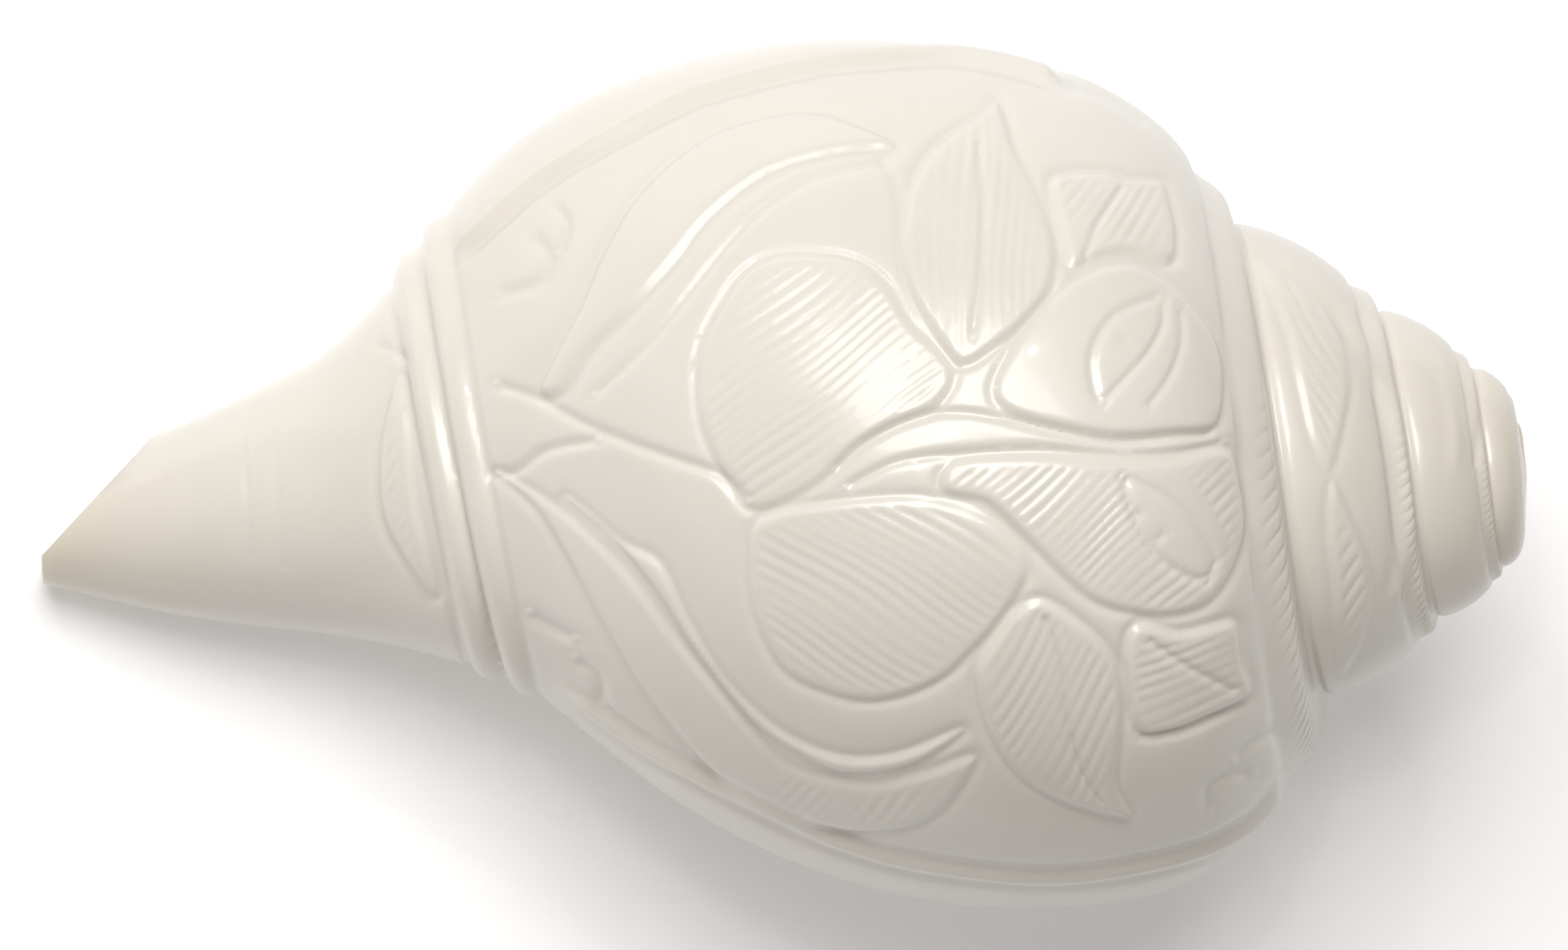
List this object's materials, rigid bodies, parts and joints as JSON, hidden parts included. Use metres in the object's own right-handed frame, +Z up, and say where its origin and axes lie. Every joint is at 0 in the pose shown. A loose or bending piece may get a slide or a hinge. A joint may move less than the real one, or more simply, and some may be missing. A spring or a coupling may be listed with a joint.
{
  "type": "carved conch shell",
  "caption": "Carved ritual conch trumpet shell with a blunt stepped spire, a big rounded last whorl and a tapering canal, lying on its mouth.",
  "frame": {"origin": "centre of the bounding box on the plane it lies on", "axes": "+X along the shell towards the spire's tip and away from the canal, +Z up from the table, +Y towards the outer lip's side"},
  "size_m": [0.147, 0.0882, 0.0754],
  "materials": {
    "polished_shell": "polished"
  },
  "bodies": {
    "root": {"shell": "polished_shell"}
  },
  "joints": []
}
